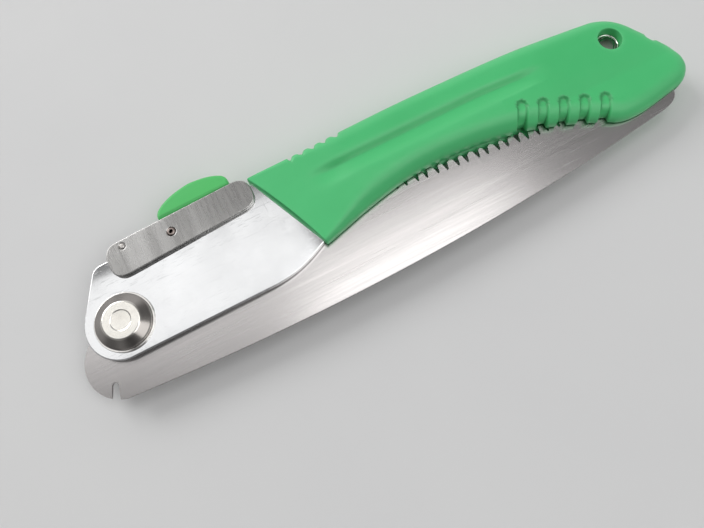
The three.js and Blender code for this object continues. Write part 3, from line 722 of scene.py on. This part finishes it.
def bolt_mesh():
    """Bolt with a wide bevelled head and a shallow ring turned in its flat top."""
    top = HEAD_Z + 3.15
    head = softened([
        (4, HEAD_Z), (9.9, HEAD_Z), (10.4, HEAD_Z + 0.35), (10.4, HEAD_Z + 0.8),
        (10.0, HEAD_Z + 1.15), (6.8, top), (3.9, top), (3.65, top - 0.14), (0.001, top - 0.14),
    ], 0.28)
    shank = [(0, -8.6), (3.3, -8.6), (4, -7.9)]
    thread = []
    for i in range(7):
        thread += [(3.95, -7.7 + 0.5 * i), (3.6, -7.45 + 0.5 * i)]
    return lathe(shank + thread + [(4, -HEAD_Z)] + head + [(0, top - 0.14)])


def nut_mesh():
    """Hexagon with its corners turned off by a chamfer on the outer face."""
    outer, inner = -8.55, -HEAD_Z
    across = 13 / 2 / cos(pi / 6)
    hexagon = lathe([(0, outer), (across, outer), (across, inner), (0, inner)], segments=6)
    bulk = lathe([(0, outer), (6.35, outer), (7.6, outer + 0.7), (7.6, inner), (0, inner)])
    bore = lathe([(0, -9), (4.05, -9), (4.05, -3.5), (0, -3.5)], segments=64)
    return clean(carved(carved(hexagon, bulk, "INTERSECT"), bore))


# ---------------------------------------------------------------- lock lever


def lever_back_y(x):
    return 29.0 + (x - 2.6) * 1.9 / 59.3


def turn_about(centre, point, angle):
    dx, dy = point[0] - centre[0], point[1] - centre[1]
    c, s = cos(angle), sin(angle)
    return centre[0] + c * dx - s * dy, centre[1] + s * dx + c * dy


LOCK_PIN = turn_about(LEVER_PIVOT, LOCK_PIN_SEAT, LEVER_LIFT)


def lever_mesh():
    """Pressed channel: two flanges and the strip of its back between them."""
    flange = rounded([
        (2.6, 15, 6), (61.9, 18.6, 6.1), (61.9, lever_back_y(61.9), 6.1),
        (2.6, lever_back_y(2.6), 6),
    ], 16)
    holes = [circle(LEVER_PIVOT, LEVER_PIN_BORE, 32), circle(LOCK_PIN, LOCK_PIN_BORE, 32)]
    upper = slab(flange, holes, *FLANGE_Z, PRESSED_EDGE, 4)
    strip = rounded([
        (14, lever_back_y(14) - 1.6, 0.3), (55.5, lever_back_y(55.5) - 1.6, 0.3),
        (55.5, lever_back_y(55.5), 0.5), (14, lever_back_y(14), 0.5),
    ], 4)
    half = FLANGE_Z[1] - 0.25
    return joined(upper, mirrored(upper), slab(strip, [], -half, half, 0.25, 3))


def pad_mesh():
    """Moulded thumb pad: flat underneath, humped, softly crowned across."""
    foot = 0.1
    outline = [(26.2, lever_back_y(26.2) + foot), (54.6, lever_back_y(54.6) + foot)]
    outline += quadratic(outline[-1], (56.2, 33.6), (53.8, 35.7), 8)
    outline += quadratic(outline[-1], (49.5, 38.5), (41, 38.7), 20)
    outline += quadratic(outline[-1], (31, 37.6), (26.6, 33.6), 20)
    outline += quadratic(outline[-1], (25.3, 32), (25.6, lever_back_y(25.6) + 0.5), 8)
    half = FLANGE_Z[1] - 0.35
    return slab(outline, [], -half, half, 1.1, 5)


def pin_mesh(centre, radius, end, chamfer=0.3, bore=0.0):
    profile = [(bore, -end), (radius - chamfer, -end), (radius, -end + chamfer)]
    profile += [(radius, end - chamfer), (radius - chamfer, end), (bore, end)]
    if bore:
        profile.append((bore, -end))
    return lathe(softened(profile, 0.12), centre, 40)


def spring_mesh():
    """Wire spring wound one and a half turns round the lever's pivot pin, with two legs."""
    px, py = LEVER_PIVOT
    coil, leg_z = 2.9, 0.675
    path = [(45, 27.3, -leg_z), (40, 27.15, -leg_z), (36, 26.9, -leg_z)]
    for i in range(49):
        turn = 1.5 * i / 48
        angle = pi / 2 + 2 * pi * turn
        x, y = coil * cos(angle), coil * sin(angle)
        path.append((px + x, py + y, 0.9 * (turn - 0.75)))
    path += [(x, y, leg_z) for x, y in ((36, 21.5), (41, 22.4), (46, 23.6), (52.5, 24.7))]
    wire = bpy.data.curves.new("wire", "CURVE")
    wire.dimensions = "3D"
    wire.bevel_depth = 0.35
    wire.bevel_resolution = 3
    wire.use_fill_caps = True
    return clean(curve_mesh(wire, [path], False), 1e-4)


# ---------------------------------------------------------------- grip


def grip_half(x):
    return GRIP_HALF - (GRIP_HALF - GRIP_HALF_BUTT) * smoothstep(x, *GRIP_TAPER)


def front_x(y):
    """The slanting, slightly bowed front edge of the grip."""
    t = (FRONT_TOP[1] - y) / 31
    return FRONT_TOP[0] + 13.3 * t + 2.7 * t * (1 - t)


def ramp_height(x, y):
    """The face slopes up from the front edge to the full thickness."""
    behind = 0.919 * (x - FRONT_TOP[0]) + 0.394 * (y - FRONT_TOP[1])
    return GRIP_HALF_FRONT + (GRIP_HALF - GRIP_HALF_FRONT) / GRIP_RAMP * behind


def slot_height(x, y):
    """Where the shell's inner side starts: higher over the slot that takes the blade."""
    return 1.25 if x < 228.4 and y < tooth_tip_y(x) + 1.2 else 0.1


def rib_depth(x, y, z):
    """Depth of the valleys between the four round ribs on the back edge."""
    start, pitch, count = RIBS
    turn = (x - start) / pitch
    if y < 22 or not -0.3 < turn < count + 0.45:
        return 0.0
    if 0 <= turn <= count:
        shape = abs(2 * (turn % 1) - 1) ** 3.2
    elif turn < 0:
        shape = 1 - smoothstep(-turn, 0, 0.16)
    else:
        shape = 1 - smoothstep(turn - count, 0, 0.4)
    return 2.5 * shape * (1 - smoothstep(z, grip_half(x) - 2.6, grip_half(x) - 0.5))


def face_groove(x, y):
    """Depth of the long groove on the face: a short slope towards the back, a longer one below."""
    ends = smoothstep(x, 81, 94) * (1 - smoothstep(x, 170, 184))
    bottom = 16.6 - 1.1 * smoothstep(x, 148, 178)
    if y > bottom:
        shape = 1 - smoothstep(y, bottom, bottom + 2.9)
    else:
        shape = max(0.0, 1 - ((bottom - y) / (bottom - 10.6)) ** 1.7)
    return 1.5 * ends * shape


def crown(y):
    """How far the face has fallen away towards the finger side."""
    return 0.6 * min(1.2, max(0.0, (10.6 - y) / 9)) ** 2


def finger_groove(x, y):
    """Depth of the finger grooves at a place of the grip's plan: deeper at the edge."""
    deepest = 0.0
    for i in range(GROOVE_COUNT):
        t = i / (GROOVE_COUNT - 1)
        lip = Vector((164.1 + 29.6 * t, -0.9 - 11.0 * t))
        angle = radians(66 - 1.6 * i)
        along = Vector((cos(angle), sin(angle)))
        offset = Vector((x, y)) - lip
        reach = min(GROOVE_LENGTH, offset.dot(along))
        distance = (offset - along * reach).length
        depth = 1.0 + 0.9 * (1 - smoothstep(reach, -0.5, 3.0))
        wall = 1 - smoothstep(distance, GROOVE_HALF_WIDTH - 0.45, GROOVE_HALF_WIDTH + 0.15)
        deepest = max(deepest, depth * wall)
    return deepest


def soft_least(value, limit, width):
    """The lesser of two numbers with a rounded change between them, and the limit's share."""
    share = smoothstep(value - limit, -width, width)
    return value + (limit - value) * share - width * 0.5 * share * (1 - share), share


def butt_step(x, y, z):
    """Depth of the short step in the rolled edge above the round end of the butt."""
    along = 0.52 * (x - BUTT_STEP[0]) - 0.85 * (y - BUTT_STEP[1])
    shape = smoothstep(along, -3.2, 0.1) * (1 - smoothstep(along, 0.1, 2.6))
    return 1.05 * shape * (1 - smoothstep(z, 5.6, 6.9)) if x > 222 else 0.0


def sculpted(x, y, z, normal):
    """A point of the plain rounded grip, after its ribs and grooves are sunk into it."""
    fallen = crown(y) * min(1.0, max(0.0, (z - 3.5) / 4))
    lowered, share = soft_least(z - fallen, ramp_height(x, y), 0.8)
    normal = Vector(normal).lerp(Vector((-0.12, -0.05, 0.99)), share).normalized()
    depth = finger_groove(x, y) + rib_depth(x, y, z) + butt_step(x, y, z)
    if normal.z > 0.9:
        depth += face_groove(x, y)
    return tuple(Vector((x, y, lowered)) - normal * depth)


def filled(loop, hole, inner):
    """Triangles of a flat region as indices into loop + hole + inner, all of them (x, y)."""
    places = [Vector(p) for p in (*loop, *hole, *inner)]
    edges = [(i, (i + 1) % len(loop)) for i in range(len(loop))]
    edges += [(len(loop) + i, len(loop) + (i + 1) % len(hole)) for i in range(len(hole))]
    _, _, faces, origins, _, _ = delaunay_2d_cdt(places, edges, [], 1, 1e-6)
    number = [min(ids) if ids else None for ids in origins]
    rim = range(len(loop), len(loop) + len(hole))
    triangles = []
    for face in faces:
        corners = tuple(number[i] for i in face)
        if None not in corners and not all(n in rim for n in corners):
            triangles.append(corners)
    return triangles


def inner_points(loop, hole_radius, step, rows=()):
    """A grid of points inside the loop and outside the hanging hole. With rows, which are
    more places in y, it is also finer at the finger grooves."""
    ring = np.array(loop)
    (x0, y0), (x1, y1) = ring.min(0), ring.max(0)
    columns = np.arange(x0, x1, step)
    grid = [(x, y) for ys in (np.arange(y0, y1, step), rows) for x in columns for y in ys]
    (left, right), (bottom, top) = FINE_PATCH
    if rows:
        fine = step / 3
        grid += [(x, y) for x in np.arange(left, right, fine) for y in np.arange(bottom, top, fine)]
    ends = np.roll(ring, -1, axis=0)
    run, rise = (ends - ring).T
    kept = []
    for x, y in grid:
        in_patch = rows and left <= x < right and bottom <= y < top
        clear = step / 4 if in_patch else step / 2
        if dist((x, y), HANG_HOLE) < hole_radius + clear:
            continue
        crosses = (ring[:, 1] > y) != (ends[:, 1] > y)
        with np.errstate(divide="ignore", invalid="ignore"):
            at = ring[:, 0] + (y - ring[:, 1]) * run / rise
        if np.count_nonzero(crosses & (x < at)) % 2 == 0:
            continue
        if np.min(np.hypot(ring[:, 0] - x, ring[:, 1] - y)) > clear:
            kept.append((float(x), float(y)))
    return kept


def grip_plan():
    """The outline's points, the inward direction at each, and a pace along them that is
    quicker where the mesh needs more columns."""
    base = np.array(spline(GRIP_EDGE, 24))
    along = np.gradient(base, axis=0)
    along /= np.linalg.norm(along, axis=1)[:, None]
    inward = np.stack([along[:, 1], -along[:, 0]], axis=1)
    travel = np.concatenate([[0], np.cumsum(np.linalg.norm(np.diff(base, axis=0), axis=1))])
    x, y = base.T
    detail = np.full(len(base), 1.0)
    detail[(y > 20) & (x > 77) & (x < 102)] = 4.0  # the ribs
    detail[(y < 4) & (x > 158) & (x < 200)] = 3.4  # the finger grooves
    detail[x > 222] = 2.2  # the butt
    pace = np.concatenate([[0], np.cumsum(np.diff(travel) * (detail[1:] + detail[:-1]) / 2)])
    return base, inward, pace


def clipped(plan, inset):
    """The outline set in, from the grip's front edge round to it again, and the outward
    direction at each of its points. It is set in less where it passes the hanging hole."""
    base, inward, pace = plan
    index = np.arange(len(base))
    past_hole = np.hypot(base[:, 0] - 217.5, base[:, 1] - 24.0)
    tight = 1 - 0.15 * np.exp(-((past_hole / 9.0) ** 2))
    ring = base + inward * (inset * tight)[:, None]
    past = np.array([x - front_x(y) - FRONT_BEVEL for x, y in ring])
    back = int(np.argmax(past > 0))
    finger = len(past) - 1 - int(np.argmax(past[::-1] > 0))
    start = back - past[back] / (past[back] - past[back - 1])
    end = finger + past[finger] / (past[finger] - past[finger + 1])
    ends = [np.interp(place, index, pace) for place in (start, end)]
    spots = np.interp(np.linspace(*ends, GRIP_COLUMNS), pace, index)
    xy = np.stack([np.interp(spots, index, ring[:, k]) for k in (0, 1)], axis=1)
    out = -np.stack([np.interp(spots, index, inward[:, k]) for k in (0, 1)], axis=1)
    return xy, out


class Skin:
    """A mesh in the making: its points, a direction for each, and its faces."""

    def __init__(self):
        self.verts, self.normals, self.faces = [], [], []

    def add(self, place, normal=UP):
        self.verts.append(tuple(place))
        self.normals.append(normal)
        return len(self.verts) - 1

    def fill(self, numbers, *regions):
        """Faces of a flat region. numbers are the points of its loop, hole and inside."""
        for corners in filled(*regions):
            self.faces.append(tuple(numbers[c] for c in corners))


def grip_sides(skin, plan):
    """The floor's edge, the wall and the rolled edge, as rows from the inner side up."""

    def row(inset, height, angle=0.0):
        made = []
        for (x, y), (nx, ny) in zip(*clipped(plan, inset)):
            normal = (nx * cos(angle), ny * cos(angle), sin(angle))
            made.append(skin.add(sculpted(x, y, height(x, y), normal), normal))
        return made

    def wall(rise):
        def height(x, y):
            low = slot_height(x, y)
            return low + rise * min(1.0, (grip_half(x) - GRIP_ROUND - low - 0.1) / 2.4)

        return height

    rows = [row(0.25, wall(0.0))] + [row(0.0, wall(rise)) for rise in (0.25, 0.9, 1.6, 2.3)]
    for angle in map(radians, range(0, 91, 9)):
        drop = GRIP_ROUND * (1 - sin(angle))
        inset = GRIP_ROUND * (1 - cos(angle))
        rows.append(row(inset, lambda x, y: grip_half(x) - drop, angle))
    for below, above in zip(rows, rows[1:]):
        skin.faces += band(below, above, closed=False)
    return rows


def grip_face(skin, plan, edge):
    """The face inside the rolled edge. Returns its points at the front and round the hole."""
    loop = [tuple(p) for p in clipped(plan, GRIP_ROUND)[0]]
    front = []
    for y in np.linspace(loop[-1][1], loop[0][1], 40)[1:-1]:
        front.append((front_x(y) + FRONT_BEVEL, float(y)))
    loop += front
    mouth = HOLE_RADIUS + HOLE_LIP
    hole = circle(HANG_HOLE, mouth, HOLE_STEPS)
    inner = inner_points(loop, mouth, FACE_STEP, GROOVE_ROWS)
    added = [skin.add(sculpted(x, y, grip_half(x), UP)) for x, y in (*front, *hole, *inner)]
    skin.fill(edge + added, loop, hole, inner)
    return added[:len(front)], added[len(front):len(front) + len(hole)]


def grip_hole(skin, rim):
    """The hanging hole's rounded lip and its wall. Returns its points at the floor."""
    for angle, floor in ((30, None), (60, None), (90, None), (90, 0.1)):
        turn = radians(angle)
        radius = HOLE_RADIUS + HOLE_LIP * (1 - sin(turn))
        drop = HOLE_LIP * (1 - cos(turn))
        below = []
        for x, y in circle(HANG_HOLE, radius, HOLE_STEPS):
            top = sculpted(x, y, grip_half(x), UP)[2]
            below.append(skin.add((x, y, floor or top - drop)))
        skin.faces += band(rim, below)
        rim = below
    return rim


def grip_front(skin, section):
    """The front end, rounded over from the section that meets it."""
    forward = Vector((-1, -0.46, 0)).normalized()
    previous = section
    for turn in map(radians, (30, 60, 90)):
        now = []
        for number in section:
            normal = Vector(skin.normals[number])
            lift = normal * cos(turn) + forward * sin(turn)
            centre = Vector(skin.verts[number]) - normal * FRONT_BEVEL
            now.append(skin.add(centre + lift * FRONT_BEVEL))
        skin.faces += band(previous, now)
        previous = now
    skin.faces.append(tuple(previous))


def grip_mesh():
    """The upper shell, without the recesses for its screws."""
    skin, plan = Skin(), grip_plan()
    rows = grip_sides(skin, plan)
    front, rim = grip_face(skin, plan, rows[-1])
    rim = grip_hole(skin, rim)
    grip_front(skin, [row[0] for row in rows] + front[::-1] + [row[-1] for row in reversed(rows)])
    loop, hole = ([skin.verts[n][:2] for n in numbers] for numbers in (rows[0], rim))
    inner = inner_points(loop, HOLE_RADIUS, FLOOR_STEP)
    added = [skin.add((x, y, slot_height(x, y))) for x, y in inner]
    skin.fill(rows[0] + rim + added, loop, hole, inner)
    return clean(mesh_from("grip", skin.verts, skin.faces))


def eyelet_mesh():
    """A rolled steel ring through the hanging hole, with a flange at each end."""
    profile = [
        (3.75, -3.6), (4.2, -4.1), (4.65, -3.7), (4.65, 3.7), (4.2, 4.1), (3.75, 3.6), (3.75, -3.6),
    ]
    return lathe(softened(profile, 0.25), HANG_HOLE, 72)


def screw_mesh(at):
    """Pan-head screw with a cross recess, driven from the lower side."""
    body = lathe(softened([
        (0, -7.8), (2.2, -7.8), (3, -6.9), (3, -5.9), (1.5, -5.9), (1.5, 6), (0.9, 6.8), (0, 6.8),
    ], 0.3), at, 48)
    outline = rounded([(-1.5, -0.3, 0.1), (1.5, -0.3, 0.1), (1.5, 0.3, 0.1), (-1.5, 0.3, 0.1)], 2)
    for turn in (20, 110):
        driver = slab(outline, [], -8.4, -6.7, 0.05, 1)
        turned = Matrix.Rotation(radians(turn), 4, "Z")
        driver.transform(Matrix.Translation((*at, 0)) @ turned)
        body = carved(body, driver)
    return clean(body)

# ---------------------------------------------------------------- the pieces

grip = grip_mesh()
recess = [(0, -12), (3.3, -12), (3.3, -5.85), (0, -5.85)]
recesses = joined(*[lathe(recess, at, 48) for at in SCREWS.values()])
piece("grip_skin_lower", carved(mirrored(grip), recesses), GRIP_GREEN, "handle", "grip_plastic",
      "grip_lower", sharp=50, weighted=False)
piece("grip_skin_upper", grip, GRIP_GREEN, "handle", "grip_plastic",
      "grip_upper", sharp=50, weighted=False)
pair("plate_skin", plate_mesh(), PLATE_CHROME, "plate_chrome", "frame_plate")

piece("blade_skin", blade_mesh(), BLADE_STEEL, "blade", "blade_steel",
      "blade", sharp=12, weighted=False)

piece("pivot_bolt_skin", bolt_mesh(), BOLT_CHROME, "handle", "bolt_chrome", "pivot_bolt")
piece("pivot_nut_skin", nut_mesh(), NUT_ZINC, "handle", "bolt_chrome", "pivot_nut", sharp=20)
washer = slab(circle((0, 0), 11.1, 96), [circle((0, 0), PIVOT_BORE, 64)], *WASHER_Z, 0.2)
pair("pivot_washer_skin", washer, RIM_CHROME, "bolt_chrome", "pivot_washer")

piece("lever_skin", lever_mesh(), LEVER_ZINC, "lock_lever", "lever_zinc", "lever_channel")
piece("thumb_pad_skin", pad_mesh(), PAD_GREEN, "lock_lever", "pad_plastic", "thumb_pad")
piece("lock_pin_skin", pin_mesh(LOCK_PIN, 1.1, 5.25), PIN_STEEL, "lock_lever", "pin_steel",
      "lock_pin")
piece("lever_pin_skin", pin_mesh(LEVER_PIVOT, 1.5, 5.35, 0.25, 0.75), PIN_RUSTED, "handle",
      "pin_steel", "lever_pivot_pin")
piece("lever_spring_skin", spring_mesh(), SPRING_STEEL, "handle", "spring_steel", "lever_spring")

piece("eyelet_skin", eyelet_mesh(), RIM_CHROME, "handle", "bolt_chrome", "hang_hole_eyelet")
for where, at in SCREWS.items():
    piece(f"grip_screw_skin_{where}", screw_mesh(at), PIN_STEEL, "handle", "pin_steel",
          f"grip_screw_{where}")

# CAD nodes that stay in view, and what they are made of.
KEPT = {
    PIN_STEEL: ("frame_spacer", "blade_stop_pin", "frame_rivet_front", "frame_rivet_middle",
                "frame_rivet_rear"),
    BRASS: ("pivot_bush", "blade_washer_upper", "blade_washer_lower"),
}
for material, names in KEPT.items():
    for name in names:
        for slot in frame["nodes"][name].material_slots:
            slot.material = material

# ---------------------------------------------------------------- camera, floor and light

# In the picture's axes, which run right, down and away, DOWN is the saw's -Z, and TURN is how
# far the saw is turned about it.
LENS = 30.17
EYE = (64.3, -74.7, 209.34)
DOWN = (28, 166, 590)
TURN = radians(27)

# Where each area light is and what it points at, its two sides, in metres, and its watts.
LIGHTS = {
    "plate_softbox": ((-0.258, 0.29, 0.8), (-0.258, 0.29, 0), (0.524, 0.185), 0.265),
    "blade_softbox": ((0.145, 0.105, 0.8), (0.145, 0.105, 0), (0.43, 0.25), 0.71),
    "heel_softbox": ((-0.195, 0.1, 0.8), (-0.195, 0.1, 0), (0.25, 0.2), 0.06),
    "back_key": ((-0.7, 1.1, 0.95), (0, 0, 0), (0.8, 0.8), 10.8),
    "front_key": ((0.5, -0.6, 1.25), (0.05, 0, 0), (1.0, 1.0), 6.2),
}


def add_camera():
    """The photograph's view, from how the saw's axes lie in the picture."""
    down = Vector(DOWN).normalized()
    right = (Vector((1, 0, 0)) - down * down.x).normalized()
    along = down.cross(right)
    c, s = cos(TURN), sin(TURN)
    axes = Matrix((right * c - along * s, -right * s - along * c, -down))
    facing = axes @ Matrix.Diagonal((1, -1, -1))
    data = bpy.data.cameras.new("camera")
    data.lens = LENS
    data.sensor_width = 36
    camera = placed("camera", data)
    camera.matrix_world = Matrix.Translation(TO_ROW @ Vector(EYE)) @ facing.to_4x4()
    bpy.context.scene.camera = camera


def add_floor():
    bm = bmesh.new()
    bmesh.ops.create_grid(bm, x_segments=40, y_segments=40, size=1.6)
    mesh = bpy.data.meshes.new("floor")
    bm.to_mesh(mesh)
    bm.free()
    f = Finish("floor_paper", 0.0, 0.2)
    tone = f.blend(f.spread(f.noise(5), 0.3, 0.7), (0.74, 0.74, 0.735), (0.71, 0.71, 0.71))
    f.emboss(f.noise(1400, detail=2), 0.08, 0.0001)
    mesh.materials.append(f.done(tone, f.spread(f.noise(40), 0.3, 0.7, 0.65, 0.8)))
    floor = placed("floor", mesh)


def add_light(name, place, target, size, power):
    data = bpy.data.lights.new(name, "AREA")
    data.shape = "RECTANGLE"
    data.size, data.size_y = size
    data.energy = power
    light = placed(name, data)
    light.location = place
    light.rotation_euler = (Vector(target) - Vector(place)).to_track_quat("-Z", "Y").to_euler()


def add_world():
    """A pale room, dimmer overhead and on the near side, with soft patches of light."""
    world = bpy.data.worlds.new("studio")
    bpy.context.scene.world = world
    world.use_nodes = True
    tree = world.node_tree
    ahead = add_node(tree, "TexCoord").outputs["Generated"]
    split = add_node(tree, "SeparateXYZ", {"Vector": ahead})
    ramp = add_node(tree, "ValToRGB", {"Fac": split.outputs["Z"]})
    stops = ramp.color_ramp.elements
    stops.new(0.5)
    for stop, place, grey in zip(stops, (0.0, 0.5, 0.8), (0.55, 0.62, 0.27)):
        stop.position = place
        stop.color = (grey, grey, grey * 1.01, 1)
    patches = add_node(tree, "TexNoise", {"Vector": ahead, "Scale": 1.3, "Detail": 1.0})
    contrast = map_range(tree, patches.outputs["Fac"], 0.38, 0.62, 0.45, 1.3)
    sides = map_range(tree, split.outputs["Y"], -0.7, 0.5, 0.5, 1.1)
    level = add_node(tree, "Math", {0: contrast, 1: sides}, operation="MULTIPLY")
    background = tree.nodes["Background"]
    feed(tree, ramp.outputs["Color"], background.inputs["Color"])
    feed(tree, level.outputs["Value"], background.inputs["Strength"])


add_camera()
add_floor()
add_world()
for name, settings in LIGHTS.items():
    add_light(name, *settings)
bpy.context.scene.view_settings.view_transform = "Standard"
